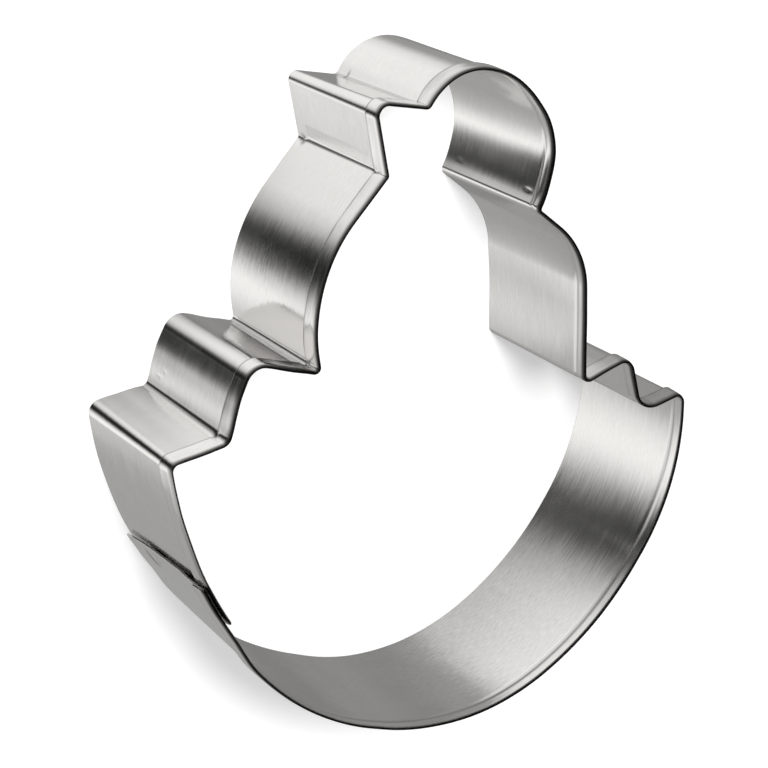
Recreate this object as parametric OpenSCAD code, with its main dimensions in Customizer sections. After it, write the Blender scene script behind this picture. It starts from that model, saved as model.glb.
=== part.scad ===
// Cookie cutter in the outline of a chick that hatches from an egg.
// One narrow strip of sheet steel is hemmed along one edge, folded and rolled to the outline, and
// its two ends are lapped and spot welded. The raw edge is the cutting edge and lies on z = 0, the
// hem is at the top, X runs across the egg and Y from the egg's bottom to the chick's head.
// The outline is a ring of corners, clockwise from above, each rounded to its bend radius. Bend
// radii are those of the sheet's inner face, and each stretch of the strip is a node of its own.

/* [Sheet] */
// Depth of the strip, from the cutting edge to the top of the hem
strip_depth = 25.4; // [18:0.1:32]
// Thickness of the sheet steel
sheet_t = 0.3; // [0.2:0.05:0.4]
// Length of the flap that the hem folds down on the outside
hem_flap = 2.9; // [2:0.1:4]
// Gap between the hem's flap and the wall
hem_gap = 0.1; // [0.05:0.05:0.2]
// Inner radius of a sharp fold
fold_r = 0.8; // [0.5:0.1:1.1]

/* [Egg shell] */
// Width of the shell between the corners of its two tips
shell_w = 87; // [80:0.5:96]
// Height of the shell from its tips down to its bottom corner
shell_h = 51.5; // [46:0.5:58]
// Bend radius of the right flank
flank_r = 39; // [34:0.5:42]
// Bend radius between the right flank and the bottom
haunch_r = 46; // [40:0.5:50]
// Bend radius of the bottom
bottom_r = 34; // [30:0.5:37]
// Bend radius between the bottom and the left flank
heel_r = 44.5; // [38:0.5:48]
// Bend radius of the left flank
left_r = 55; // [50:1:62]

/* [Cracked edge, left] */
// Width of the two steps between the left tip and the chick
steps_w = 22.65; // [20:0.05:25]
// Climb of the lower step's tread
low_climb = 2; // [1:0.1:3]
// Bend radius of the left tip
left_tip_r = 1.2; // [0.8:0.1:2]
// Height of the riser
riser_h = 10.9; // [9:0.1:13]
// Bend radius at the top of the riser
riser_r = 3; // [2:0.1:4]
// Fall of the upper step's tread
high_fall = 2.8; // [1.5:0.1:4]

/* [Cracked edge, right] */
// Width of the wave between the chick and the right tip
wave_w = 19.05; // [17:0.05:22]
// Height of the wave's crest above the tips
crest_h = 6.7; // [5:0.1:8]
// Bend radius of the crest
crest_r = 1.6; // [1.2:0.1:2.2]
// Depth of the trough below the tips
trough_h = 2.4; // [1.5:0.1:4]
// Bend radius of the trough
trough_r = 3; // [2:0.1:3.5]
// Bend radius of the right tip
right_tip_r = 1; // [0.8:0.1:1.8]

/* [Chick] */
// Height of the back's foot above the tips
back_foot_h = 3.7; // [2:0.1:5]
// Width of the neck between its two folds
neck_w = 24.6; // [22:0.2:28]
// Height of the throat's fold above the tips
throat_h = 37.5; // [34:0.5:41]
// Drop from the throat's fold to the nape's
nape_drop = 6.5; // [5:0.1:9]
// Distance of the breast's corner outwards from its foot
breast_out = 2.9; // [1:0.1:5]
// Bend radius of the breast
breast_r = 22; // [18:0.5:24]
// Bend radius of the shoulder
shoulder_r = 13; // [10:0.5:15]
// Height of the beak's lower side
beak_h = 9.8; // [8:0.1:12]
// Reach of the beak's tip past the throat's fold
beak_reach = 2.8; // [1.5:0.1:4]
// Length of the beak's upper side
beak_len = 8.2; // [7:0.1:9.5]
// Fall of the beak's upper side from the tip to the brow
beak_fall = 1; // [0.2:0.1:2]
// Bend radius of the beak's tip
beak_tip_r = 1.4; // [0.8:0.1:2]
// Width of the head
head_w = 25.8; // [23:0.2:29]
// Height of the head above the throat's fold
head_h = 14.7; // [13:0.1:17]
// Distance of the head's middle from the shell's, towards the chick's back
head_shift = 1.3; // [0:0.1:3]
// Bend radius of the brow
brow_r = 8.4; // [7:0.1:10]
// Bend radius of the head's top and back
head_r = 12.8; // [11:0.1:14]

/* [Lap joint] */
// Length over which the strip's two ends overlap
lap_len = 7.4; // [6:0.1:10]
// Straight tail of the inner end below the left flank's bend
inner_tail = 2.5; // [1.5:0.1:4]
// Clearance between the inner end's hem and the outer end
lap_gap = 0.1; // [0.05:0.05:0.3]
// Diameter of a weld spot
weld_d = 2.6; // [2:0.1:3.2]
// Distance of the weld spots from the outer end's free edge
weld_in = 2; // [1.6:0.1:2.4]
// Distance of the lower weld spot from the cutting edge
weld_low = 7.6; // [6:0.1:11]
// Distance of the upper weld spot below the hem's flap
weld_drop = 4.3; // [1.6:0.1:6]

/* [Hidden] */
$fn = 96;

// The hem is the wall, the gap and the flap, under a half round crown.
hem_w = 2*sheet_t + hem_gap;
crown_r = hem_w/2;
// A fold towards the outside has the hem inside it, so the inner face turns more widely there.
inward_r = fold_r + hem_w;
// The outer end of the strip lies this far outside the inner end.
lap_step = hem_w + lap_gap;
half_w = shell_w/2;

// Corners of the shell, as shares of its half width and of its height from the tips
left_shares = [-0.93, -0.27];
flank_shares = [1.04, -0.278];
haunch_shares = [0.753, -0.697];
bottom_shares = [0.23, -0.993];
heel_shares = [-0.488, -0.804];
// Corners of the head, as shares of its half width and of its height above the throat
brow_shares = [-0.35, 1.02];
head_shares = [0.49, 0.885];
nape_shares = [1.155, 0.145];
// Height of the breast's corner, as a share of the way from its foot to the throat
breast_share = 0.475;
// Places of the riser's foot and top, as shares of the way from the left tip to the breast's foot
riser_foot_share = 0.38;
riser_top_share = 0.508;
// Places of the wave's crest and trough, as shares of the way from the back's foot to the right tip
crest_share = 0.422;
trough_share = 0.59;
// The shoulder's corner, as shares of the way from the nape's fold to the back's foot
shoulder_shares = [0.765, 0.232];
// Part of a straight that the bends at its two ends may take up
bend_share = 0.98;

function on_shell(s) = [s.x*half_w, s.y*shell_h];
function on_head(s) = [head_shift + s.x*head_w/2, throat_h + s.y*head_h];

left_tip = [-half_w, 0];
low_inner = left_tip + [riser_foot_share*steps_w, low_climb];
riser_top = left_tip + [riser_top_share*steps_w, low_climb + riser_h];
breast_foot = left_tip + [steps_w, low_climb + riser_h - high_fall];
throat = [-neck_w/2, throat_h];
beak_tip = throat + [-beak_reach, beak_h];
notch = beak_tip + [beak_len, -beak_fall];
nape_fold = [neck_w/2, throat_h - nape_drop];
back_foot = [half_w - wave_w, back_foot_h];
breast = [breast_foot.x - breast_out, breast_foot.y + breast_share*(throat.y - breast_foot.y)];
back_way = back_foot - nape_fold;
shoulder = nape_fold + [shoulder_shares.x*back_way.x, shoulder_shares.y*back_way.y];
right_tip = [half_w, 0];
crest = [back_foot.x + crest_share*wave_w, crest_h];
trough = [back_foot.x + trough_share*wave_w, -trough_h];

// Each corner of the ring with its bend radius, from the left flank round to the heel
ring = [
    [on_shell(left_shares), left_r],
    [left_tip, left_tip_r],
    [low_inner, inward_r],
    [riser_top, riser_r],
    [breast_foot, inward_r],
    [breast, breast_r],
    [throat, inward_r],
    [beak_tip, beak_tip_r],
    [notch, inward_r],
    [on_head(brow_shares), brow_r],
    [on_head(head_shares), head_r],
    [on_head(nape_shares), head_r],
    [nape_fold, inward_r],
    [shoulder, shoulder_r],
    [back_foot, inward_r],
    [crest, crest_r],
    [trough, trough_r + hem_w],
    [right_tip, right_tip_r],
    [on_shell(flank_shares), flank_r],
    [on_shell(haunch_shares), haunch_r],
    [on_shell(bottom_shares), bottom_r],
    [on_shell(heel_shares), heel_r]
];
count = len(ring);
heel = count - 1;

function before(k) = (k + count - 1)%count;
function after(k) = (k + 1)%count;
function heading(v) = atan2(v.y, v.x);
function left_of(v) = [-v.y, v.x];

// Leg k runs from corner k to the next one. A turn is positive to the left.
legs = [for (k = [0:heel]) ring[after(k)][0] - ring[k][0]];
ways = [for (leg = legs) leg/norm(leg)];
turns = [for (k = [0:heel]) let (a = ways[before(k)], b = ways[k])
    atan2(a.x*b.y - a.y*b.x, a*b)];
// Length of straight that a bend takes up on each side of its corner
wants = [for (k = [0:heel]) ring[k][1]*tan(abs(turns[k])/2)];
// A bend shrinks only where its leg is too short for it.
fits = [for (k = [0:heel]) min(1, bend_share*norm(legs[k])/(wants[k] + wants[after(k)]))];
radii = [for (k = [0:heel]) ring[k][1]*min(fits[before(k)], fits[k])];
takes = [for (k = [0:heel]) radii[k]*tan(abs(turns[k])/2)];
starts = [for (k = [0:heel]) ring[k][0] - takes[k]*ways[before(k)]];
ends = [for (k = [0:heel]) ring[k][0] + takes[k]*ways[k]];

// The lap. The heel's corner slides out along its leg until the outer end clears the inner hem.
lap_out = lap_step*left_of(ways[heel]);
heel_slide = lap_step/sin(abs(turns[heel]))*ways[before(heel)];
inner_end = starts[0] - inner_tail*ways[heel];
lap_r = radii[0] + lap_step;
lap_turn = (lap_len - inner_tail)/lap_r*180/PI;

// Furthest reach of the outline's outer face in a direction, which lies on one of its bends
function centre(k) = starts[k] + sign(turns[k])*radii[k]*left_of(ways[before(k)]);
function past(k, angle) = (heading(ways[before(k)]) + 90 - angle + 720)%360;
function reach(angle) = max([for (k = [0:heel]) if (past(k, angle) <= -turns[k])
    centre(k)*[cos(angle), sin(angle)] + radii[k] + hem_w]);
middle = [reach(0) - reach(180), reach(90) - reach(270)]/2;

// Cross-section of the strip. The inner face is at x = 0, outwards is +x and y is the height.
module section() {
    shoulder_h = strip_depth - crown_r;
    square([sheet_t, shoulder_h]);
    translate([sheet_t + hem_gap, shoulder_h - hem_flap]) square([sheet_t, hem_flap]);
    translate([crown_r, shoulder_h]) difference() {
        circle(r = crown_r);
        circle(r = hem_gap/2);
        translate([-crown_r, -crown_r]) square([hem_w, crown_r]);
    }
}

// A bend that starts at the origin along +x with its outside at +y, and turns left if positive
module bend(turn, r) {
    if (turn > 0) translate([0, r, 0]) rotate(-90) rotate_extrude(angle = turn)
        translate([r, 0]) mirror([1, 0]) section();
    else mirror([0, 1, 0]) translate([0, r, 0]) rotate(-90) rotate_extrude(angle = -turn)
        translate([r, 0]) section();
}

// A straight stretch of wall from a point on its inner face, with a bend at its far end
module stretch(from, way, length, turn, r) {
    color("silver") translate(from - middle) rotate(heading(way)) {
        rotate([90, 0, 90]) linear_extrude(length) section();
        translate([length, 0, 0]) bend(turn, r);
    }
}

// The stretch that ends in a corner's bend
module wall(k) stretch(ends[k - 1], ways[k - 1], norm(starts[k] - ends[k - 1]), turns[k], radii[k]);

module left_flank_wall() stretch(inner_end, ways[heel], inner_tail, turns[0], radii[0]);
module left_tip_wall() wall(1);
module low_tread_wall() wall(2);
module riser_wall() wall(3);
module high_tread_wall() wall(4);
module breast_wall() wall(5);
module throat_wall() wall(6);
module beak_lower_wall() wall(7);
module beak_upper_wall() wall(8);
module brow_wall() wall(9);
module crown_wall() wall(10);
module nape_wall() wall(11);
module neck_wall() wall(12);
module shoulder_wall() wall(13);
module back_wall() wall(14);
module crest_wall() wall(15);
module trough_wall() wall(16);
module right_tip_wall() wall(17);
module right_flank_wall() wall(18);
module haunch_wall() wall(19);
module bottom_wall() wall(20);
module heel_wall() {
    from = ends[before(heel)];
    stretch(from, ways[before(heel)], norm(starts[heel] + heel_slide - from), turns[heel],
            radii[heel]);
}
module lap_wall() {
    from = ends[heel] + heel_slide;
    stretch(from, ways[heel], norm(starts[0] + lap_out - from), -lap_turn, lap_r);
}

// The weld nuggets fill the space between the inner end's wall and the outer end's.
module weld_spots() color("gray") {
    hub = starts[0] - radii[0]*left_of(ways[heel]) - middle;
    weld_top = strip_depth - crown_r - hem_flap - weld_drop;
    aim = heading(left_of(ways[heel])) - lap_turn + weld_in/lap_r*180/PI;
    for (h = [weld_low, weld_top]) translate(hub) rotate(aim) intersection() {
        translate([radii[0], 0, h]) rotate([0, 90, 0]) cylinder(d = weld_d, h = 2*lap_step);
        rotate(-lap_turn) rotate_extrude(angle = 2*lap_turn)
            translate([radii[0] + sheet_t, 0]) square([lap_step - sheet_t, strip_depth]);
    }
}

left_flank_wall();
left_tip_wall();
low_tread_wall();
riser_wall();
high_tread_wall();
breast_wall();
throat_wall();
beak_lower_wall();
beak_upper_wall();
brow_wall();
crown_wall();
nape_wall();
neck_wall();
shoulder_wall();
back_wall();
crest_wall();
trough_wall();
right_tip_wall();
right_flank_wall();
haunch_wall();
bottom_wall();
heel_wall();
lap_wall();
weld_spots();
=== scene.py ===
import math

import bpy
import numpy as np
from mathutils import Matrix, Vector


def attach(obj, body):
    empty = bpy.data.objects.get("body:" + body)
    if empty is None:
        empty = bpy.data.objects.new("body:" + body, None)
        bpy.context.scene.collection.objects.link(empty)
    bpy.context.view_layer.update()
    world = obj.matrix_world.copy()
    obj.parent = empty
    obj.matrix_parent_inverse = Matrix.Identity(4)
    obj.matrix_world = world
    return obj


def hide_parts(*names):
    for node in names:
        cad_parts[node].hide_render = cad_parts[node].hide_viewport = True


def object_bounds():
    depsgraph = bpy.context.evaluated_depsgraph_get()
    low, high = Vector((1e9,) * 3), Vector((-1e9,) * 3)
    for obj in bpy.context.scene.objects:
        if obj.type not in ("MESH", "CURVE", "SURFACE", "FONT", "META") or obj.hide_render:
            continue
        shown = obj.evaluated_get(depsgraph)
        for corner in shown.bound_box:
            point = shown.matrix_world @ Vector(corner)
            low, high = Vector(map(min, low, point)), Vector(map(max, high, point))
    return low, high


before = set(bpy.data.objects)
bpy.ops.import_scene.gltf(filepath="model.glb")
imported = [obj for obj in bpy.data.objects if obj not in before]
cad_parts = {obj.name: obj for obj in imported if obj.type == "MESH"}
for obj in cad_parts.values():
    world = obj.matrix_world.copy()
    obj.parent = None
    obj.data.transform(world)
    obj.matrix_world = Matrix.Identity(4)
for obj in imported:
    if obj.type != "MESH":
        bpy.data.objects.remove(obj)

cad_low, cad_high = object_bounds()

# Lengths are in millimetres up to the vertices, which are in metres. Along the strip they run
# clockwise, seen from above the hem, from the inner end of the lap to the outer end.
MM = 0.001
SEED = 7
TINY = 1e-6

# Sheet
STRIP_DEPTH = 25.4
SHEET_T = 0.3
HEM_FLAP = 2.9
HEM_GAP = 0.1
FOLD_R = 0.8
HEM_W = 2 * SHEET_T + HEM_GAP
CROWN_R = HEM_W / 2
CROWN_Z = STRIP_DEPTH - CROWN_R
FLAP_Z = CROWN_Z - HEM_FLAP
INWARD_R = FOLD_R + HEM_W
# Folds towards the outside, as tight as the photograph's
SHARP_R = 0.95
FIRM_R = SHARP_R + 0.2

# Egg shell
SHELL_W = 87.0
SHELL_H = 51.5
FLANK_R = 39.0
HAUNCH_R = 46.0
BOTTOM_R = 34.0
HEEL_R = 44.5
LEFT_R = 55.0
HALF_W = SHELL_W / 2

# Cracked edge
STEPS_W = 22.65
LOW_CLIMB = 2.0
LEFT_TIP_R = 1.2
RISER_H = 10.9
RISER_R = 2.4
HIGH_FALL = 2.8
WAVE_W = 19.05
CREST_H = 6.7
CREST_R = 1.6
TROUGH_H = 2.4
TROUGH_R = 3.0
RIGHT_TIP_R = 1.0

# Chick
BACK_FOOT_H = 3.7
NECK_W = 24.6
THROAT_H = 37.5
NAPE_DROP = 6.5
BREAST_OUT = 2.9
BREAST_R = 22.0
SHOULDER_R = 13.0
BEAK_H = 9.8
BEAK_REACH = 2.8
BEAK_LEN = 8.2
BEAK_FALL = 1.0
BEAK_TIP_R = 1.15
HEAD_W = 25.8
HEAD_H = 14.7
HEAD_SHIFT = 1.3
BROW_R = 8.4
HEAD_R = 12.8

# Lap joint
LAP_LEN = 7.4
INNER_TAIL = 2.5
LAP_STEP = HEM_W + 0.1

# Corners of the shell, as shares of its half width and of its height from the tips
LEFT_SHARES = (-0.93, -0.27)
FLANK_SHARES = (1.04, -0.278)
HAUNCH_SHARES = (0.753, -0.697)
BOTTOM_SHARES = (0.23, -0.993)
HEEL_SHARES = (-0.488, -0.804)
# Corners of the head, as shares of its half width and of its height above the throat
BROW_SHARES = (-0.35, 1.02)
HEAD_SHARES = (0.49, 0.885)
NAPE_SHARES = (1.155, 0.145)
# Other corners, as shares of the way from one corner to the next
RISER_FOOT_SHARE = 0.38
RISER_TOP_SHARE = 0.508
BREAST_SHARE = 0.475
SHOULDER_SHARES = np.array([0.765, 0.232])
CREST_SHARE = 0.422
TROUGH_SHARE = 0.59
# Most of a leg that the bends at its two ends may take
BEND_SHARE = 0.98
NAMES = ["left_flank", "left_tip", "low_tread", "riser", "high_tread", "breast", "throat",
         "beak_lower", "beak_upper", "brow", "crown", "nape", "neck", "shoulder", "back",
         "crest", "trough", "right_tip", "right_flank", "haunch", "bottom", "heel", "lap"]


def on_shell(x, y):
    return np.array([x * HALF_W, y * SHELL_H])


def on_head(x, y):
    return np.array([HEAD_SHIFT + x * HEAD_W / 2, THROAT_H + y * HEAD_H])


def corner_ring():
    """Corners of the outline's inner face, clockwise from above, each with its bend radius."""
    left_tip = np.array([-HALF_W, 0.0])
    riser_foot = left_tip + [RISER_FOOT_SHARE * STEPS_W, LOW_CLIMB]
    riser_top = left_tip + [RISER_TOP_SHARE * STEPS_W, LOW_CLIMB + RISER_H]
    breast_foot = left_tip + [STEPS_W, LOW_CLIMB + RISER_H - HIGH_FALL]
    throat = np.array([-NECK_W / 2, THROAT_H])
    beak_tip = throat + [-BEAK_REACH, BEAK_H]
    notch = beak_tip + [BEAK_LEN, -BEAK_FALL]
    nape_fold = np.array([NECK_W / 2, THROAT_H - NAPE_DROP])
    back_foot = np.array([HALF_W - WAVE_W, BACK_FOOT_H])
    breast = breast_foot + [-BREAST_OUT, BREAST_SHARE * (throat[1] - breast_foot[1])]
    shoulder = nape_fold + SHOULDER_SHARES * (back_foot - nape_fold)
    right_tip = np.array([HALF_W, 0.0])
    crest = np.array([back_foot[0] + CREST_SHARE * WAVE_W, CREST_H])
    trough = np.array([back_foot[0] + TROUGH_SHARE * WAVE_W, -TROUGH_H])
    return [(on_shell(*LEFT_SHARES), LEFT_R), (left_tip, LEFT_TIP_R), (riser_foot, INWARD_R),
            (riser_top, RISER_R), (breast_foot, SHARP_R), (breast, BREAST_R),
            (throat, SHARP_R), (beak_tip, BEAK_TIP_R), (notch, SHARP_R),
            (on_head(*BROW_SHARES), BROW_R), (on_head(*HEAD_SHARES), HEAD_R),
            (on_head(*NAPE_SHARES), HEAD_R), (nape_fold, FIRM_R), (shoulder, SHOULDER_R),
            (back_foot, FIRM_R), (crest, CREST_R), (trough, TROUGH_R + HEM_W),
            (right_tip, RIGHT_TIP_R), (on_shell(*FLANK_SHARES), FLANK_R),
            (on_shell(*HAUNCH_SHARES), HAUNCH_R), (on_shell(*BOTTOM_SHARES), BOTTOM_R),
            (on_shell(*HEEL_SHARES), HEEL_R)]


def left_of(v):
    return np.array([-v[1], v[0]])


def strip_spans():
    """The strip as it is walked from its inner end: name, straight, turn and bend radius."""
    ring = corner_ring()
    count = len(ring)
    points = [np.array(c[0]) for c in ring]
    wanted_r = [c[1] for c in ring]
    legs = [points[(k + 1) % count] - points[k] for k in range(count)]
    lengths = [np.linalg.norm(leg) for leg in legs]
    ways = [leg / length for leg, length in zip(legs, lengths)]
    turns = [math.atan2(np.cross(ways[k - 1], ways[k]), ways[k - 1] @ ways[k])
             for k in range(count)]
    half_tan = [math.tan(abs(turn) / 2) for turn in turns]
    fits = [min(1, BEND_SHARE * lengths[k] / (wanted_r[k] * half_tan[k]
                + wanted_r[(k + 1) % count] * half_tan[(k + 1) % count])) for k in range(count)]
    radii = [wanted_r[k] * min(fits[k - 1], fits[k]) for k in range(count)]
    takes = [radii[k] * half_tan[k] for k in range(count)]
    slide = LAP_STEP / math.sin(abs(turns[-1]))
    first = points[0] - (takes[0] + INNER_TAIL) * ways[-1]
    spans = [("left_flank", INNER_TAIL, turns[0], radii[0])]
    for k in range(1, count):
        straight = lengths[k - 1] - takes[k - 1] - takes[k]
        if k == count - 1:
            straight += slide
        spans.append((NAMES[k], straight, turns[k], radii[k]))
    lap_r = radii[0] + LAP_STEP
    lap_straight = lengths[-1] - takes[-1] - takes[0] - slide * math.cos(turns[-1])
    spans.append(("lap", lap_straight, -(LAP_LEN - INNER_TAIL) / lap_r, lap_r))
    return first, math.atan2(ways[-1][1], ways[-1][0]), spans


class Strip:
    """The inner face's path, as straights and arcs that follow each other."""

    def __init__(self):
        here, angle, spans = strip_spans()
        self.begins, self.names, self.bends = [], [], []
        rows = []
        at = 0.0
        for name, straight, turn, radius in spans:
            self.names.append(name)
            self.begins.append(at)
            way = np.array([math.cos(angle), math.sin(angle)])
            rows.append((at, here[0], here[1], angle, 0.0))
            here = here + straight * way
            at += straight
            self.bends.append((at, at + radius * abs(turn), turn, radius))
            bend = math.copysign(1 / radius, turn)
            rows.append((at, here[0], here[1], angle, bend))
            centre = here + left_of(way) / bend
            angle += turn
            here = centre - left_of(np.array([math.cos(angle), math.sin(angle)])) / bend
            at += radius * abs(turn)
        self.begins.append(at)
        self.rows = np.array(rows)

    def at(self, s):
        """Point, way, outward normal and stretch per millimetre outwards at lengths s."""
        row = self.rows[np.clip(np.searchsorted(self.rows[:, 0], s, "right") - 1, 0, None)]
        run = s - row[:, 0]
        bend = row[:, 4]
        angle = row[:, 3] + bend * run
        way = np.stack([np.cos(angle), np.sin(angle)], 1)
        normal = np.stack([-way[:, 1], way[:, 0]], 1)
        way0 = np.stack([np.cos(row[:, 3]), np.sin(row[:, 3])], 1)
        normal0 = np.stack([-way0[:, 1], way0[:, 0]], 1)
        safe = np.where(bend == 0, 1.0, bend)[:, None]
        arc = (normal0 - normal) / safe
        point = row[:, 1:3] + np.where(bend[:, None] == 0, way0 * run[:, None], arc)
        return point, way, normal, -bend


strip = Strip()
REACH_SAMPLES = 40001


def reach(path, axis, sign):
    """How far the outer face of the whole outline reaches along an axis."""
    s = np.linspace(0, path.begins[-1], REACH_SAMPLES)
    point, _, normal, _ = path.at(s)
    return (sign * (point + normal * HEM_W)[:, axis]).max()


MIDDLE = np.array([reach(strip, 0, 1) - reach(strip, 0, -1),
                   reach(strip, 1, 1) - reach(strip, 1, -1)]) / 2

# Section: radii of the sheared edges, and how far the crown's curve comes down on each side
EDGE_R = 0.12
END_R = 0.05
CROWN_OUT = 1.3
CROWN_IN = 0.6
EDGE_STEPS = 3
CROWN_STEPS = 9
# Distances between the section's points
WALL_STEP = 0.6
FINE_STEP = 0.25
FLAP_STEP = 0.35
HIDDEN_STEP = 0.7
CREASE_STEP = 0.15
OUTER_STEP = 0.5


def strip_profile():
    """The strip's closed cross-section: x outwards, y up, its normal and its side.

    The side is -1 on the inner face, 1 on the flap and 0 elsewhere.
    """
    rows = []

    def line(x, y0, y1, facing, step, side):
        count = max(1, round(abs(y1 - y0) / step))
        for k in range(count + 1):
            rows.append((x, y0 + k / count * (y1 - y0), facing, 0, side))

    def arc(cx, cy, rx, ry, start, end, steps, side):
        for angle in np.radians(np.linspace(start, end, steps + 1)):
            nx, ny = math.cos(angle) / rx, math.sin(angle) / ry
            size = math.hypot(nx, ny)
            rows.append((cx + rx * math.cos(angle), cy + ry * math.sin(angle),
                         nx / size, ny / size, side))

    flap_x = SHEET_T + HEM_GAP
    crown_low = STRIP_DEPTH - CROWN_IN
    shoulder_low = STRIP_DEPTH - CROWN_OUT
    # Up the inner face, over the crown and down the flap
    arc(EDGE_R, EDGE_R, EDGE_R, EDGE_R, 270, 180, EDGE_STEPS, 0)
    line(0, EDGE_R + WALL_STEP, FLAP_Z, -1, WALL_STEP, -1)
    line(0, FLAP_Z + FINE_STEP, crown_low - 0.1, -1, FINE_STEP, -1)
    arc(CROWN_R, crown_low, CROWN_R, CROWN_IN, 180, 90, CROWN_STEPS, -1)
    arc(CROWN_R, shoulder_low, CROWN_R, CROWN_OUT, 81, 0, CROWN_STEPS, 1)
    line(HEM_W, shoulder_low - 0.3, FLAP_Z + EDGE_R + 0.3, 1, FLAP_STEP, 1)
    arc(HEM_W - EDGE_R, FLAP_Z + EDGE_R, EDGE_R, EDGE_R, 0, -90, EDGE_STEPS, 1)
    arc(flap_x + EDGE_R, FLAP_Z + EDGE_R, EDGE_R, EDGE_R, -90, -180, EDGE_STEPS, 1)
    # Up the flap's back, round the gap's top and down the outer face
    line(flap_x, FLAP_Z + EDGE_R + HIDDEN_STEP, CROWN_Z - HIDDEN_STEP, -1, HIDDEN_STEP, 1)
    start = len(rows)
    arc(CROWN_R, CROWN_Z, HEM_GAP / 2, HEM_GAP / 2, 0, 180, 4, 0)
    for k in range(start, len(rows)):
        x, y, nx, ny, side = rows[k]
        rows[k] = (x, y, -nx, -ny, side)
    line(SHEET_T, CROWN_Z - HIDDEN_STEP, FLAP_Z + 0.8, 1, HIDDEN_STEP, 0)
    line(SHEET_T, FLAP_Z + 0.3, FLAP_Z - 0.9, 1, CREASE_STEP, 0)
    line(SHEET_T, FLAP_Z - 1.4, EDGE_R + 0.4, 1, OUTER_STEP, 0)
    arc(SHEET_T - EDGE_R, EDGE_R, EDGE_R, EDGE_R, 0, -90, EDGE_STEPS, 0)
    return np.array(rows)


PROFILE = strip_profile()

# What forming and handling did to the strip: lengths along it are from the start of the node
BOWS = [  # node, from, to, outwards at the cutting edge, outwards at the hem
    ("riser", 0.3, 9.7, 0.21, 0.19),
    ("riser", 0.5, 4.5, 0.03, 0.03),
    ("riser", 5.0, 13.5, -0.22, -0.08),
    ("high_tread", 0.0, 7.4, -0.16, -0.10),
    ("low_tread", 0.8, 6.6, -0.10, -0.02),
    ("nape", 7.5, 16.5, -0.20, -0.24),
    ("back", 0.0, 13.5, 0.10, 0.0),
]
LEANS = [  # node, along, outwards at the cutting edge, outwards at the hem
    ("left_flank", 0.0, 0.17, -0.13), ("left_flank", 7.4, 0.40, -0.30),
    ("left_flank", 15.0, 0.30, -0.50), ("left_flank", 21.0, 0.38, -0.40),
    ("left_tip", 2.0, 0.38, -0.30), ("low_tread", 4.0, 0.40, -0.35), ("riser", 0.0, 0.0, -0.30),
    ("riser", 8.0, 0.0, -0.15), ("high_tread", 4.0, 0.10, -0.05), ("breast", 6.0, 0.0, 0.05),
    ("breast", 19.0, -0.25, 0.25), ("throat", 6.0, -0.15, 0.20), ("beak_lower", 8.0, -0.20, 0.15),
    ("beak_upper", 6.0, -0.20, 0.15), ("brow", 4.0, -0.05, 0.05), ("brow", 10.0, 0.0, 0.0),
    ("crown", 6.0, 0.0, 0.05), ("nape", 4.0, 0.15, 0.35), ("nape", 12.0, 0.20, 0.30),
    ("shoulder", 6.0, 0.10, 0.20), ("back", 4.0, 0.20, 0.10), ("back", 14.0, 0.0, -0.10),
    ("crest", 4.0, 0.0, 0.10), ("trough", 6.0, 0.0, 0.10), ("right_tip", 2.0, 0.0, 0.0),
    ("right_flank", 20.0, 0.0, 0.10), ("haunch", 20.0, 0.10, 0.10), ("bottom", 10.0, 0.0, 0.05),
    ("bottom", 20.0, -0.10, 0.0), ("heel", 8.0, -0.30, 0.40), ("heel", 26.0, -0.30, 0.30),
    ("lap", 1.0, 0.0, -0.10), ("lap", 6.0, 0.30, -0.15), ("lap", 11.2, 0.40, -0.30),
]
MARKS = [  # pressed in the folds, with painted shade in them: node, along, height, reach along, reach up, inwards
    ("beak_upper", 5.9, 2.4, 0.45, 0.5, 0.22),
    ("beak_upper", 6.4, 3.0, 1.1, 0.22, 0.07),
    ("beak_upper", 5.6, 2.0, 0.25, 1.2, 0.07),
    ("throat", 7.6, 1.3, 0.6, 0.7, 0.22),
    ("throat", 7.6, 21.9, 0.5, 0.5, 0.18),
    ("high_tread", 7.6, 21.9, 0.5, 0.6, 0.2),
    ("low_tread", 7.3, 22.0, 0.5, 0.6, 0.2),
]
DENTS = [  # as the marks, but without painted shade
    ("riser", 2.6, 4.2, 0.35, 0.5, 0.02),
    ("riser", 1.6, 3.0, 0.25, 0.6, 0.02),
    ("crown", 2.0, 13.0, 0.5, 0.4, 0.02),
    ("nape", 14.4, 21.4, 0.3, 0.8, 0.06),
    ("nape", 14.2, 3.6, 0.25, 0.9, 0.03),
]
TUCKS = [  # node that ends in the fold, lift of the flap before it, and after it
    ("low_tread", 0.06, 0.16), ("high_tread", 0.14, 0.16), ("throat", 0.14, 0.08),
    ("beak_upper", 0.08, 0.16), ("neck", 0.14, 0.14), ("back", 0.12, 0.14), ("trough", 0.12, 0.1),
]
TUCK_REACH = 4.5
# Highest value of x * exp(-x * x), which makes a tuck's lift its highest one
HUMP_PEAK = 0.43
# The flap is pressed flat by this share across the folds themselves
FOLD_FLAT, FOLD_W = 0.9, 0.7
FLAP_LIFT = 0.06
FLAP_RIPPLE = [(0.5, 4.3, 1.0), (0.3, 1.7, 0.0)]  # share, length and phase
GROOVE_Z, GROOVE_W, GROOVE_IN = 23.25, 0.34, 0.09
# Step that the folding tool pressed beside the throat's fold
PRESS_W, PRESS_IN = 2.1, 0.10
PRESS_FROM, PRESS_EASE = 0.5, (-0.2, 0.8)
PRESS_LOW, PRESS_TOP = (2.6, 3.0), (FLAP_Z - 0.8, FLAP_Z)
# The lap's end is pressed down on to the inner end, except where the hem holds it off
LAP_PRESS = 0.22
LAP_EASE = (-3.0, 8.5)
LAP_HELD = (16.5, 21.5)
# Its free edge is cut back towards the cutting edge
LAP_CUT = 1.35
LAP_CUT_H = 11.0
LAP_CUT_EASE = 4.0
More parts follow.
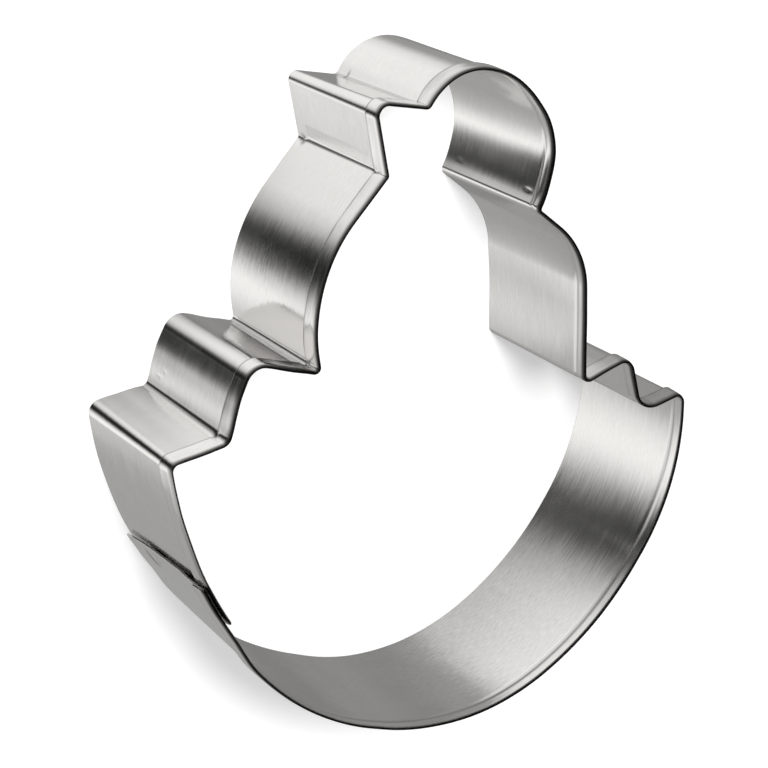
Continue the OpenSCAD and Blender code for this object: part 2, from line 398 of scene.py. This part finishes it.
# Corner of the hem at the strip's ends: its length, its drop and the height where that starts
END_ROUND, END_DROP, END_LOW = 0.7, 0.45, 22.5
# Mark that the lower weld left in the lap, with a rim that is crisp at its lower side
WELD_LOW = 7.6
WELD_IN = 2.0
WELD_MARK_R = 1.95
WELD_MARK_IN = 0.09
RIM_CRISP, RIM_SOFT, RIM_PAST = 0.2, 0.7, 0.12
RIM_LOW = 0.9
DIAGONAL = 0.7
# Unevenness of the rolled sheet
WAVE_IN = 0.006
WAVES = np.random.default_rng(SEED).uniform(-1, 1, (7, 3))

# Painted shade, painted dark reflection and darker sheared edges: strengths from 0 to 1, and
# widths over which they fade. They are on the section's points past OUTER_X, which are the flap
# and the outer face, or short of INNER_X, which is the inner face.
OUTER_X, INNER_X = 0.25, 0.1
# Flap's free edge, with painted shade on the wall under it and a darker sheared edge: widths
# below and above it, and how unevenly it is darkened
FLAP_EDGE_SHADE_AND_WEAR = (0.35, 0.12)
FLAP_EDGE_UP = 0.04
EDGE_PATCHES = 0.25
# Painted shade in the inner groove: strength, what the egg shell's has more, and the line's rise
# past the groove
GROOVE_SHADE, SHELL_GROOVE_SHADE, GROOVE_SHADE_W = 0.12, 0.28, 0.25
GROOVE_SHADE_UP = 0.1
# Painted dark reflection on the crown: heights at which it starts outside and inside, and how
# much higher inside the shell
CROWN_SHADE_W = 0.75
CROWN_LOW_OUT, CROWN_LOW_IN, CROWN_SHELL_UP = 24.5, 24.2, 0.55
# The left flank's hem has this share of the rim's painted shade, painted dark reflection and
# darker edge
FLANK_RIM_SHARE = 0.35
# Darker lower rim of the weld mark, painted shadow in the gap at the lap's free edge, and painted
# shade in the folds and in the marks in them
WELD_RIM_DARK, WELD_RIM_DARK_W, WELD_RIM_DARK_END = 0.55, 0.32, (-1.6, -0.7)
LAP_GAP_SHADE, LAP_GAP_SHADE_W, LAP_GAP_SHADE_LOW = 0.85, 0.2, (-2.0, 6.0)
LAP_GAP_SHADE_PAST = 0.1
FOLD_SHADE, FOLD_SHADE_W = 0.35, 0.3
MARK_SHADE = 2.5


def smooth(value, low, high):
    share = np.clip((value - low) / (high - low), 0, 1)
    return share * share * (3 - 2 * share)


def bump(value, width):
    return np.exp(-(value / width) ** 2)


def start_of(name):
    return strip.begins[strip.names.index(name)]


def fold_of(name):
    """Length at the middle of the bend that ends a node."""
    start, end, _, _ = strip.bends[strip.names.index(name)]
    return (start + end) / 2


def far_from(mark, s, y):
    """Squared distance from a mark's middle, in its reaches."""
    name, along, height, reach_s, reach_y, _ = mark
    return ((s - start_of(name) - along) / reach_s) ** 2 + ((y - height) / reach_y) ** 2


def diagonal(ds, dy):
    """How far a place lies from the weld mark's middle, up and towards the outer end."""
    return DIAGONAL * ds + DIAGONAL * dy


def flap_lift(s, y):
    """How far the flap stands off its wall, most at its free edge and beside the inward folds."""
    down = np.maximum((CROWN_Z - y) / HEM_FLAP, 0)
    ripple = 1
    for share, length, phase in FLAP_RIPPLE:
        ripple = ripple + share * np.sin(s / length + phase)
    lift = FLAP_LIFT * ripple
    for name, before, after in TUCKS:
        gap = s - fold_of(name)
        hump = np.abs(gap) * bump(gap, TUCK_REACH) / (HUMP_PEAK * TUCK_REACH)
        lift = lift + np.where(gap < 0, before, after) * hump
        lift = lift * (1 - FOLD_FLAT * bump(gap, FOLD_W))
    return lift * down ** 2


def weld_mark(s, y):
    """The weld's round dent, whose lower rim alone is crisp."""
    ds, dy = s - (strip.begins[-1] - WELD_IN), y - WELD_LOW
    rim = RIM_CRISP + RIM_SOFT * smooth(diagonal(ds, dy), -RIM_LOW * WELD_MARK_R, WELD_MARK_R)
    past = smooth(np.hypot(ds, dy), WELD_MARK_R - rim, WELD_MARK_R + RIM_PAST)
    return -WELD_MARK_IN * (1 - past)


def throat_press(s, y):
    """The step beside the throat's fold, which ends below the flap."""
    fold = fold_of("throat")
    first, full = fold + PRESS_EASE[0], fold + PRESS_EASE[1]
    band = np.clip(1 - (s - fold - PRESS_FROM) / PRESS_W, 0, 1) * (s > first)
    return PRESS_IN * band * smooth(s, first, full) * smooth(y, *PRESS_LOW) \
        * (1 - smooth(y, *PRESS_TOP))


def lap_press(s, y):
    pressed = smooth(s, start_of("lap") + LAP_EASE[0], start_of("lap") + LAP_EASE[1])
    return LAP_PRESS * pressed * (1 - smooth(y, *LAP_HELD))


def lean(s, share):
    """Slow lean of the walls, eased from one place to the next."""
    places = np.array([start_of(name) + along for name, along, _, _ in LEANS])
    back = np.array([row[2] for row in LEANS])
    front = np.array([row[3] for row in LEANS])
    k = np.clip(np.searchsorted(places, s) - 1, 0, len(places) - 2)
    run = smooth(s, places[k], places[k + 1])
    low = back[k] + (back[k + 1] - back[k]) * run
    high = front[k] + (front[k + 1] - front[k]) * run
    return low + (high - low) * share


def wall_offset(s, y):
    """How far the formed wall stands outwards of the plain one."""
    share = y / STRIP_DEPTH
    out = lean(s, share)
    for name, start, end, back, front in BOWS:
        run = np.clip((s - start_of(name) - start) / (end - start), 0, 1)
        out = out + np.sin(math.pi * run) ** 2 * (back + (front - back) * share)
    for mark in MARKS + DENTS:
        out = out - mark[-1] * np.exp(-far_from(mark, s, y))
    for a, b, c in WAVES:
        along = np.sin(s * (0.45 + 0.25 * a) + 3 * c)
        out = out + WAVE_IN * along * np.sin(y * (0.2 + 0.12 * b) + 5 * a)
    return out - throat_press(s, y) - lap_press(s, y) + weld_mark(s, y)


def offset(s, y, side):
    """How far each side of the formed sheet stands outwards of the plain one."""
    groove = GROOVE_IN * bump(y - GROOVE_Z, GROOVE_W)
    flap = (side > 0) * (flap_lift(s, y) - HEM_GAP)
    return wall_offset(s, y) + (side < 0) * groove + flap


def end_turn(s):
    """Angle to which the sheet's edge is rounded over at the strip's two ends."""
    near = np.minimum(s, strip.begins[-1] - s)
    return np.arcsin(np.clip(1 - near / END_R, 0, 1)) * np.where(s < END_R, -1, 1)


def drop(s, y):
    """How far the hem's corner is rounded down at the strip's two ends."""
    near = np.minimum(s, strip.begins[-1] - s)
    corner = 1 - np.sqrt(np.clip(1 - np.clip(1 - near / END_ROUND, 0, 1) ** 2, 0, 1))
    return END_DROP * corner * smooth(y, END_LOW, STRIP_DEPTH)


def cut_back(y):
    """How far the lap's free edge is cut back towards the cutting edge."""
    share = np.clip(1 - y / LAP_CUT_H, 0, 1)
    return LAP_CUT * share * share


def cut(s, y):
    """How far a place near the strip's outer end is drawn back for that."""
    return cut_back(y) * smooth(s, strip.begins[-1] - LAP_CUT_EASE, strip.begins[-1])


def rim_shade_and_wear(s, y, x):
    """Painted shade along the hem: under the flap's free edge, whose sheared edge is darker too, and
    in the inner groove; and a painted dark reflection on the crown.
    """
    # Painted shade on the wall under the flap's free edge, and a darker sheared edge
    below, above = FLAP_EDGE_SHADE_AND_WEAR
    edge = np.where(y < FLAP_Z + FLAP_EDGE_UP, bump(y - FLAP_Z, below),
                    bump(y - FLAP_Z - FLAP_EDGE_UP, above)) * (x > OUTER_X)
    patchy = 1 - EDGE_PATCHES + EDGE_PATCHES * np.sin(s * 1.3) * np.sin(s * 0.37 + 1)
    shell = smooth(s, start_of("trough"), start_of("right_flank"))
    # Painted shade in the inner groove, darker inside the egg shell
    groove = (GROOVE_SHADE + SHELL_GROOVE_SHADE * shell) * (x < INNER_X) \
        * bump(y - GROOVE_Z - GROOVE_SHADE_UP, GROOVE_SHADE_W)
    # The crown is painted dark, as a dark reflection
    crown_low = np.where(x > CROWN_R, CROWN_LOW_OUT, CROWN_LOW_IN + CROWN_SHELL_UP * shell)
    crown = smooth(y, crown_low, crown_low + CROWN_SHADE_W)
    past_flank = smooth(s, start_of("left_tip"), start_of("low_tread") + 1.5)
    return (edge * patchy + groove + crown) * (FLANK_RIM_SHARE + (1 - FLANK_RIM_SHARE) * past_flank)


def shade_and_wear(s, y, x):
    """Painted shade in creases, gaps and the groove, a painted dark reflection on the crown, and
    darker sheared edges and weld rim, from 0 to 1.
    """
    shade_and_dirt = rim_shade_and_wear(s, y, x)
    # Painted darker along the weld mark's lower rim
    ds, dy = s - strip.begins[-1] + WELD_IN, y - WELD_LOW
    rim = bump(np.hypot(ds, dy) - WELD_MARK_R, WELD_RIM_DARK_W)
    lower = 1 - smooth(diagonal(ds, dy), *WELD_RIM_DARK_END)
    shade_and_dirt = shade_and_dirt + WELD_RIM_DARK * rim * lower * (x > OUTER_X)
    # Painted shadow in the gap along the lap's free edge
    gap = s - LAP_LEN - LAP_GAP_SHADE_PAST + cut_back(y)
    shade_and_dirt = shade_and_dirt + LAP_GAP_SHADE * bump(gap, LAP_GAP_SHADE_W) * smooth(y, *LAP_GAP_SHADE_LOW) * (x > OUTER_X)
    # Painted shade in the creases of the inward folds
    for name, _, _ in TUCKS:
        shade_and_dirt = shade_and_dirt + FOLD_SHADE * bump(s - fold_of(name), FOLD_SHADE_W) * (x > OUTER_X)
    # Painted shade in the pressed marks, darker where they are deeper
    for mark in MARKS:
        shade_and_dirt = shade_and_dirt + MARK_SHADE * mark[-1] * np.exp(-2 * far_from(mark, s, y))
    return np.clip(shade_and_dirt, 0, 1)


RING_STEPS = [(2.5, 0.22), (7.0, 0.35), (math.inf, 0.7)]  # distance from a fold or end, step
BEND_STEP = math.radians(4)
LAST_STEP = 1.4  # longest last step before a stop, in steps
END_ANGLES = (60, 30, 0)
END_CLEAR = 1.2  # free of other rings before the last ones, in radii of the sheet's edge


def ring_lengths(k):
    """Lengths along the strip at which node k has a ring of points."""
    start, end = strip.begins[k], strip.begins[k + 1]
    bend_start, bend_end, turn, _ = strip.bends[k]
    folds = [fold_of(name) for name, _, _ in TUCKS] + [strip.begins[-1], 0.0, LAP_LEN]
    rounds = [END_R * (1 - math.sin(math.radians(angle))) for angle in END_ANGLES]
    stops = [start, *rounds] if k == 0 else [start]
    while stops[-1] < end - TINY:
        here = stops[-1]
        near = min(abs(here - fold) for fold in folds)
        step = next(step for reach_s, step in RING_STEPS if near < reach_s)
        stop = bend_start
        if here >= bend_start - TINY:
            step = min(step, BEND_STEP * (bend_end - bend_start) / abs(turn))
            stop = end
        stops.append(stop if here + LAST_STEP * step > stop else here + step)
    if k == len(strip.names) - 1:
        stops = [stop for stop in stops if stop < end - END_CLEAR * END_R]
        stops += [end - near for near in rounds[::-1]] + [end]
    return np.array(stops)


PROBE = 0.02  # distance over which slopes are taken
KEEP_IN = 0.9999  # keeps the hem just below the solids' top
BOX = np.array([cad_low[:2], cad_high[:2]]) / MM


def strip_surface(s):
    """Points, normals, ways and the mask of painted shade and darker edges of the strip at
    lengths s, as rings of the profile.
    """
    point, way, normal, stretch = strip.at(s)
    x, y, nx, ny, side = PROFILE.T
    s2, y2 = s[:, None], y[None, :]
    slope_s = (offset(s2 + PROBE, y2, side) - offset(s2 - PROBE, y2, side)) / (2 * PROBE)
    slope_y = (offset(s2, y2 + PROBE, side) - offset(s2, y2 - PROBE, side)) / (2 * PROBE)
    across = x + offset(s2, y2, side)
    way2, normal2 = way[:, None, :], normal[:, None, :]
    places = np.empty((len(s), len(x), 3))
    places[..., :2] = (point - MIDDLE)[:, None, :] + across[..., None] * normal2
    places[..., 2] = y - drop(s2, y2)
    tip = -nx * slope_s / (1 + stretch[:, None] * across)
    normals = np.empty_like(places)
    normals[..., :2] = nx[:, None] * normal2 + tip[..., None] * way2
    normals[..., 2] = ny - nx * slope_y
    normals /= np.linalg.norm(normals, axis=2, keepdims=True)
    # The two ends are rounded over, and the lap's is cut back.
    turn = end_turn(s)[:, None, None]
    places -= END_R * (1 - np.cos(turn)) * normals
    along = np.zeros_like(places)
    along[..., :2] = way2
    normals = np.cos(turn) * normals + np.sin(turn) * along
    places[..., :2] -= cut(s2, y2)[..., None] * way2
    places[..., 2] *= KEEP_IN
    places[..., :2] = np.clip(places[..., :2], *BOX)
    return places, normals, way, shade_and_wear(s2, y2, x)


UV_SCALE = 0.01  # of the strip's millimetres


def build_stretch(k):
    """One node's stretch of the strip as a closed mesh."""
    name = strip.names[k] + "_sheet"
    s = ring_lengths(k)
    places, normals, way, shade_and_dirt = strip_surface(s)
    rings, around = places.shape[:2]
    index = np.arange(rings * around).reshape(rings, around)
    a, b = index[:-1], index[1:]
    quads = np.stack([a, b, np.roll(b, -1, 1), np.roll(a, -1, 1)], -1).reshape(-1, 4)
    faces = quads.tolist() + [index[0].tolist(), index[-1].tolist()[::-1]]
    mesh = bpy.data.meshes.new(name)
    mesh.from_pydata((places.reshape(-1, 3) * MM).tolist(), [], faces)
    # The strip's own length and girth are its texture coordinates.
    v = np.concatenate([[0], np.cumsum(np.hypot(*np.diff(PROFILE[:, :2], axis=0).T))])
    s_of, v_of = np.repeat(s, around), np.tile(v, rings)
    corners = np.concatenate([quads.ravel(), index[0], index[-1][::-1]])
    ends = np.concatenate([np.tile([*-way[0], 0], (around, 1)), np.tile([*way[-1], 0], (around, 1))])
    loop_normals = np.concatenate([normals.reshape(-1, 3)[quads.ravel()], ends])
    loop_v = v_of[corners]
    # The last face round closes on the first point, whose girth there is the whole section's.
    last = np.tile(np.arange(around) == around - 1, rings - 1)
    closing = np.repeat(last, 4).reshape(-1, 4)
    closing[:, :2] = False
    loop_v[:len(closing) * 4][closing.ravel()] = v[-1] + EDGE_R
    layer = mesh.uv_layers.new(name="strip")
    uv = np.stack([s_of[corners], loop_v], 1) * UV_SCALE
    layer.data.foreach_set("uv", uv.astype(np.float32).ravel())
    # Mask of painted shade, painted dark reflection and darker sheared edges
    shade = mesh.attributes.new("shade_and_wear", "FLOAT", "POINT")
    shade.data.foreach_set("value", shade_and_dirt.astype(np.float32).ravel())
    mesh.polygons.foreach_set("use_smooth", [True] * len(faces))
    mesh.normals_split_custom_set(loop_normals.tolist())
    obj = bpy.data.objects.new(name, mesh)
    bpy.context.scene.collection.objects.link(obj)
    return obj


class Nodes:
    """Short calls for building a node tree."""

    def __init__(self, owner):
        owner.use_nodes = True
        self.tree = owner.node_tree
        self.tree.nodes.clear()

    def add(self, kind, **sockets):
        node = self.tree.nodes.new(kind)
        for key, value in sockets.items():
            node.inputs[key].default_value = value
        return node

    def join(self, source, target):
        self.tree.links.new(source, target)

    def math(self, operation, first, second=None):
        node = self.tree.nodes.new("ShaderNodeMath")
        node.operation = operation
        for socket, value in zip(node.inputs, (first, second)):
            if isinstance(value, bpy.types.NodeSocket):
                self.join(value, socket)
            elif value is not None:
                socket.default_value = value
        return node.outputs[0]

    def add_up(self, *terms):
        total = terms[0]
        for term in terms[1:]:
            total = self.math("ADD", total, term)
        return total

    def times(self, first, second):
        return self.math("MULTIPLY", first, second)

    def mix(self):
        """A colour mix: its node, its two colour inputs and its output."""
        node = self.add("ShaderNodeMix")
        node.data_type = "RGBA"
        return node, node.inputs[6], node.inputs[7], node.outputs[2]


# Noises on the strip: length and width of their spots, and their detail
GRAIN = (1.3, 0.15, 2.0)
LONG_GRAIN = (5.0, 0.4, 2.0)
SMUDGE = (7.0, 5.0, 3.0)
# How far they tip the normal along the strip and across it
GRAIN_TIP = 0.05
LONG_TIP = 0.06
GRAIN_ROLL = 0.06
# What they, and the mask of painted shade and wear, add to the steel's colour and roughness
STEEL = (0.81, 0.80, 0.785)
# Dark colour of the painted shade, the painted dark reflection and the darker sheared edges
SHADE_AND_GRIME = (0.08, 0.077, 0.074, 1.0)
SHADE, GRAIN_SHADE, SMUDGE_SHADE, SHADE_AND_WEAR_TINT = 0.83, 0.24, 0.10, 0.95
ROUGHNESS, GRAIN_ROUGH, SMUDGE_ROUGH, SHADE_AND_WEAR_ROUGH = 0.10, 0.05, 0.08, 0.3
WELD_ROUGHNESS = 0.45
WELD_NOISE = 900.0
WELD_DARK = (0.36, 0.35, 0.34, 1)
WELD_LIGHT = (0.58, 0.57, 0.55, 1)


def stretched_noise(nodes, place, along, across, detail):
    """Noise whose spots are so many millimetres long and wide on the strip."""
    scale = nodes.add("ShaderNodeMapping", Scale=(1 / UV_SCALE / along, 1 / UV_SCALE / across, 1))
    nodes.join(place, scale.inputs["Vector"])
    noise = nodes.add("ShaderNodeTexNoise", Scale=1.0, Detail=detail)
    nodes.join(scale.outputs[0], noise.inputs["Vector"])
    return noise.outputs[0]


def steel_material():
    """Satin bright steel with a fine grain along the strip."""
    material = bpy.data.materials.new("satin_steel")
    nodes = Nodes(material)
    out = nodes.add("ShaderNodeOutputMaterial")
    shader = nodes.add("ShaderNodeBsdfPrincipled", Metallic=1.0)
    nodes.join(shader.outputs[0], out.inputs["Surface"])
    uv = nodes.add("ShaderNodeUVMap")
    uv.uv_map = "strip"
    grain = stretched_noise(nodes, uv.outputs[0], *GRAIN)
    long_grain = stretched_noise(nodes, uv.outputs[0], *LONG_GRAIN)
    smudge = stretched_noise(nodes, uv.outputs[0], *SMUDGE)
    # Grain tips the normal to and fro along the strip, which frays the edges of reflections.
    grain_off = nodes.math("SUBTRACT", grain, 0.5)
    long_off = nodes.math("SUBTRACT", long_grain, 0.5)
    tip = nodes.add_up(nodes.times(grain_off, GRAIN_TIP), nodes.times(long_off, LONG_TIP))
    roll = nodes.times(grain_off, GRAIN_ROLL)
    tipped = nodes.add("ShaderNodeCombineXYZ", Z=1.0)
    nodes.join(nodes.add_up(nodes.times(tip, 0.5), 0.5), tipped.inputs["X"])
    nodes.join(nodes.add_up(nodes.times(roll, 0.5), 0.5), tipped.inputs["Y"])
    normal = nodes.add("ShaderNodeNormalMap")
    normal.uv_map = "strip"
    nodes.join(tipped.outputs[0], normal.inputs["Color"])
    nodes.join(normal.outputs[0], shader.inputs["Normal"])
    # Colour: even steel with a light grain and lighter smudges, painted dark by the mask of painted
    # shade, painted dark reflection and darker sheared edges
    level = nodes.add_up(nodes.times(grain, GRAIN_SHADE), nodes.times(smudge, SMUDGE_SHADE), SHADE)
    steel_shade = nodes.add("ShaderNodeVectorMath")
    steel_shade.operation = "SCALE"
    steel_shade.inputs[0].default_value = STEEL
    nodes.join(level, steel_shade.inputs["Scale"])
    shade_and_dirt = nodes.add("ShaderNodeAttribute")
    shade_and_dirt.attribute_name = "shade_and_wear"
    tint, clean, shaded_and_dirty, colour = nodes.mix()
    nodes.join(nodes.times(shade_and_dirt.outputs["Fac"], SHADE_AND_WEAR_TINT), tint.inputs["Factor"])
    nodes.join(steel_shade.outputs[0], clean)
    shaded_and_dirty.default_value = SHADE_AND_GRIME
    nodes.join(colour, shader.inputs["Base Color"])
    rough = nodes.add_up(nodes.times(smudge, SMUDGE_ROUGH), nodes.times(grain, GRAIN_ROUGH),
                         ROUGHNESS, nodes.times(shade_and_dirt.outputs["Fac"], SHADE_AND_WEAR_ROUGH))
    nodes.join(rough, shader.inputs["Roughness"])
    return material


def weld_material():
    """Dull pressed metal of the weld spots."""
    material = bpy.data.materials.new("weld_metal")
    nodes = Nodes(material)
    out = nodes.add("ShaderNodeOutputMaterial")
    shader = nodes.add("ShaderNodeBsdfPrincipled", Metallic=1.0, Roughness=WELD_ROUGHNESS)
    noise = nodes.add("ShaderNodeTexNoise", Scale=WELD_NOISE)
    ramp = nodes.add("ShaderNodeValToRGB")
    ramp.color_ramp.elements[0].color = WELD_DARK
    ramp.color_ramp.elements[1].color = WELD_LIGHT
    nodes.join(noise.outputs[0], ramp.inputs[0])
    nodes.join(ramp.outputs[0], shader.inputs["Base Color"])
    nodes.join(shader.outputs[0], out.inputs["Surface"])
    return material


# Tent: brightness round the object, seen by reflections alone. Angles are in degrees from +X, and
# heights from the cutting edge. Reflections that go down pass through the floor.
TENT_R = 120.0
TENT_BOTTOM, TENT_TOP = -700.0, 500.0
TENT_SIDES = 96
TENT_GAIN = 1.29
TENT_TINT = (1, 0.998, 0.99)
# Levels above the join and below it, and how much the part below the dimmed height loses
TENT_ABOVE = [(0, 0.24), (24, 0.21), (40, 0.27), (55, 0.27), (62, 0.42), (70, 0.66), (84, 0.80),
              (116, 0.80), (128, 0.74), (136, 0.62), (143, 0.46), (148, 0.22), (154, 0.05),
              (160, 0.012), (170, 0.012), (175, 0.07), (180, 0.25), (187, 0.58), (196, 0.84),
              (204, 0.88), (212, 0.80), (219, 0.66), (227, 0.33), (250, 0.31), (300, 0.30),
              (316, 0.19), (336, 0.19), (348, 0.23), (360, 0.24)]
TENT_BELOW = [(0, 0.24), (18, 0.225), (36, 0.21), (50, 0.285), (58, 0.34), (66, 0.51), (76, 0.60),
              (100, 0.65), (122, 0.60), (132, 0.46), (140, 0.33), (147, 0.14), (154, 0.05),
              (162, 0.07), (168, 0.18), (176, 0.44), (184, 0.73), (192, 0.87), (200, 0.88),
              (210, 0.78), (222, 0.59), (232, 0.45), (250, 0.37), (276, 0.32), (312, 0.30),
              (328, 0.19), (346, 0.22), (360, 0.24)]
TENT_LOSS = [(0, 0.0), (32, 0.0), (58, 0.30), (142, 0.30), (160, 0.05), (180, 0.0)]
# Lower and upper height of a change, and the values below and above it
JOIN = (-158, -147, 1, 0)
DIMMED = (-190, -164, 1, 0)
DEEP = (-420, -260, 1.15, 1)
UPPER = (-80, -30, 1, 0.7)
CEILING = (5, 45, 1, 0.03)


def level_ramp(nodes, turn, levels):
    ramp = nodes.add("ShaderNodeValToRGB")
    elements = ramp.color_ramp.elements
    for k, (degrees, level) in enumerate(levels):
        element = elements[k] if k < 2 else elements.new(degrees / 360)
        element.position = degrees / 360
        element.color = (*(level * TENT_GAIN * share for share in TENT_TINT), 1)
    nodes.join(turn, ramp.inputs[0])
    return ramp.outputs[0]


def height_share(nodes, height, low, high, low_value, high_value):
    share = nodes.add("ShaderNodeMapRange", **{"From Min": low * MM, "From Max": high * MM,
                                               "To Min": low_value, "To Max": high_value})
    share.interpolation_type = "SMOOTHSTEP"
    nodes.join(height, share.inputs["Value"])
    return share.outputs[0]


def tent_material():
    material = bpy.data.materials.new("tent_cloth")
    nodes = Nodes(material)
    out = nodes.add("ShaderNodeOutputMaterial")
    place = nodes.add("ShaderNodeNewGeometry")
    split = nodes.add("ShaderNodeSeparateXYZ")
    nodes.join(place.outputs["Position"], split.inputs[0])
    angle = nodes.math("ARCTAN2", split.outputs[1], split.outputs[0])
    turn = nodes.math("FRACT", nodes.math("ADD", nodes.math("DIVIDE", angle, 2 * math.pi), 1.0))
    height = split.outputs[2]
    blend, above, below, colour = nodes.mix()
    nodes.join(height_share(nodes, height, *JOIN), blend.inputs["Factor"])
    nodes.join(level_ramp(nodes, turn, TENT_ABOVE), above)
    nodes.join(level_ramp(nodes, turn, TENT_BELOW), below)
    upper, ceiling, deep, dimmed = (height_share(nodes, height, *change)
                                    for change in (UPPER, CEILING, DEEP, DIMMED))
    kept = nodes.math("SUBTRACT", 1.0, nodes.times(dimmed, level_ramp(nodes, turn, TENT_LOSS)))
    light = nodes.add("ShaderNodeEmission")
    nodes.join(colour, light.inputs["Color"])
    level = nodes.times(nodes.times(upper, ceiling), nodes.times(deep, kept))
    nodes.join(level, light.inputs["Strength"])
    nodes.join(light.outputs[0], out.inputs["Surface"])
    return material


def studio_object(name, vertices, faces, material):
    mesh = bpy.data.meshes.new(name)
    mesh.from_pydata([tuple(c * MM for c in v) for v in vertices], [], faces)
    mesh.materials.append(material)
    obj = bpy.data.objects.new(name, mesh)
    bpy.context.scene.collection.objects.link(obj)
    return obj


def make_tent():
    angles = [2 * math.pi * k / TENT_SIDES for k in range(TENT_SIDES)]
    ring = [(TENT_R * math.cos(angle), TENT_R * math.sin(angle)) for angle in angles]
    vertices = [(x, y, z) for z in (TENT_BOTTOM, TENT_TOP) for x, y in ring]
    faces = [(k, (k + 1) % TENT_SIDES, TENT_SIDES + (k + 1) % TENT_SIDES, TENT_SIDES + k)
             for k in range(TENT_SIDES)]
    tent = studio_object("tent", vertices, faces, tent_material())
    tent.visible_camera = False
    tent.visible_diffuse = False
    tent.visible_shadow = False
    tent.visible_transmission = False


# Floor: white to the camera and clear to reflections
FLOOR_GLOW = 0.4
FLOOR_SHADE = (0.7, 0.7, 0.7, 1)
FLOOR_SIZE = 4000.0
FLOOR_Z = -0.02
AIR_SHADE = (0.5, 0.5, 0.5, 1)
WHITE = (1, 1, 1, 1)


def make_floor():
    material = bpy.data.materials.new("pale_floor")
    nodes = Nodes(material)
    out = nodes.add("ShaderNodeOutputMaterial")
    rays = nodes.add("ShaderNodeLightPath")
    plain = nodes.add("ShaderNodeBsdfDiffuse", Color=FLOOR_SHADE)
    glow = nodes.add("ShaderNodeEmission", Color=WHITE, Strength=FLOOR_GLOW)
    seen = nodes.add("ShaderNodeAddShader")
    clear = nodes.add("ShaderNodeBsdfTransparent")
    camera_mix = nodes.add("ShaderNodeMixShader")
    gloss_mix = nodes.add("ShaderNodeMixShader")
    nodes.join(plain.outputs[0], seen.inputs[0])
    nodes.join(glow.outputs[0], seen.inputs[1])
    nodes.join(rays.outputs["Is Camera Ray"], camera_mix.inputs[0])
    nodes.join(plain.outputs[0], camera_mix.inputs[1])
    nodes.join(seen.outputs[0], camera_mix.inputs[2])
    nodes.join(rays.outputs["Is Glossy Ray"], gloss_mix.inputs[0])
    nodes.join(camera_mix.outputs[0], gloss_mix.inputs[1])
    nodes.join(clear.outputs[0], gloss_mix.inputs[2])
    nodes.join(gloss_mix.outputs[0], out.inputs["Surface"])
    h = FLOOR_SIZE / 2
    corners = [(x, y, FLOOR_Z) for x, y in ((-h, -h), (h, -h), (h, h), (-h, h))]
    studio_object("floor", corners, [(0, 1, 2, 3)], material)


def make_world():
    world = bpy.data.worlds.new("studio")
    bpy.context.scene.world = world
    nodes = Nodes(world)
    out = nodes.add("ShaderNodeOutputWorld")
    rays = nodes.add("ShaderNodeLightPath")
    air = nodes.add("ShaderNodeBackground", Color=AIR_SHADE, Strength=1.0)
    white = nodes.add("ShaderNodeBackground", Color=WHITE, Strength=1.0)
    mix = nodes.add("ShaderNodeMixShader")
    nodes.join(rays.outputs["Is Camera Ray"], mix.inputs[0])
    nodes.join(air.outputs[0], mix.inputs[1])
    nodes.join(white.outputs[0], mix.inputs[2])
    nodes.join(mix.outputs[0], out.inputs["Surface"])


# A soft lamp above the chick's head, which reflections don't see
LAMP_AT = Vector((-110.0, 165.0, 430.0))
LAMP_AIM = Vector((10, -30, 0))
LAMP_SIZE = 130.0
LAMP_POWER = 1.8


def make_lamp():
    lamp = bpy.data.lights.new("softbox", "AREA")
    lamp.shape = "DISK"
    lamp.size = LAMP_SIZE * MM
    lamp.energy = LAMP_POWER
    obj = bpy.data.objects.new("softbox", lamp)
    bpy.context.scene.collection.objects.link(obj)
    obj.location = LAMP_AT * MM
    obj.rotation_mode = "QUATERNION"
    obj.rotation_quaternion = (LAMP_AT - LAMP_AIM).to_track_quat("Z", "Y")
    obj.visible_glossy = False


# Camera, fitted to the hem and the cutting edge in the photograph
VIEW_AZIMUTH = 238.31
VIEW_ELEVATION = 52.62
VIEW_ROLL = 120.70
VIEW_LENS = 103.63
VIEW_SENSOR = 36
VIEW_NEAR, VIEW_FAR = 10.0, 10000.0
VIEW_DISTANCE = 323.66
VIEW_AIM = Vector((-3.085, 1.039, STRIP_DEPTH / 2))


def make_camera():
    data = bpy.data.cameras.new("camera")
    data.lens = VIEW_LENS
    data.sensor_width = VIEW_SENSOR
    data.clip_start, data.clip_end = VIEW_NEAR * MM, VIEW_FAR * MM
    camera = bpy.data.objects.new("camera", data)
    bpy.context.scene.collection.objects.link(camera)
    azimuth, elevation, roll = (math.radians(a) for a in (VIEW_AZIMUTH, VIEW_ELEVATION, VIEW_ROLL))
    back = Vector((math.sin(azimuth) * math.cos(elevation), -math.cos(azimuth) * math.cos(elevation),
                   math.sin(elevation)))
    level = Vector((math.cos(azimuth), math.sin(azimuth), 0))
    right = math.cos(roll) * level + math.sin(roll) * back.cross(level)
    up = back.cross(right)
    axes = Matrix((right, up, back)).transposed()
    camera.matrix_world = Matrix.Translation((VIEW_AIM + back * VIEW_DISTANCE) * MM) @ axes.to_4x4()
    bpy.context.scene.camera = camera


make_camera()
make_world()
make_lamp()
make_floor()
make_tent()
steel = steel_material()
for k, stretch_name in enumerate(strip.names):
    piece = build_stretch(k)
    piece.data.materials.append(steel)
    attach(piece, "root")
    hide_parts(stretch_name + "_wall")
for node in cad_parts.values():
    if node.name == "weld_spots":
        node.data.materials.clear()
        node.data.materials.append(weld_material())

bpy.context.scene.view_settings.view_transform = "Standard"
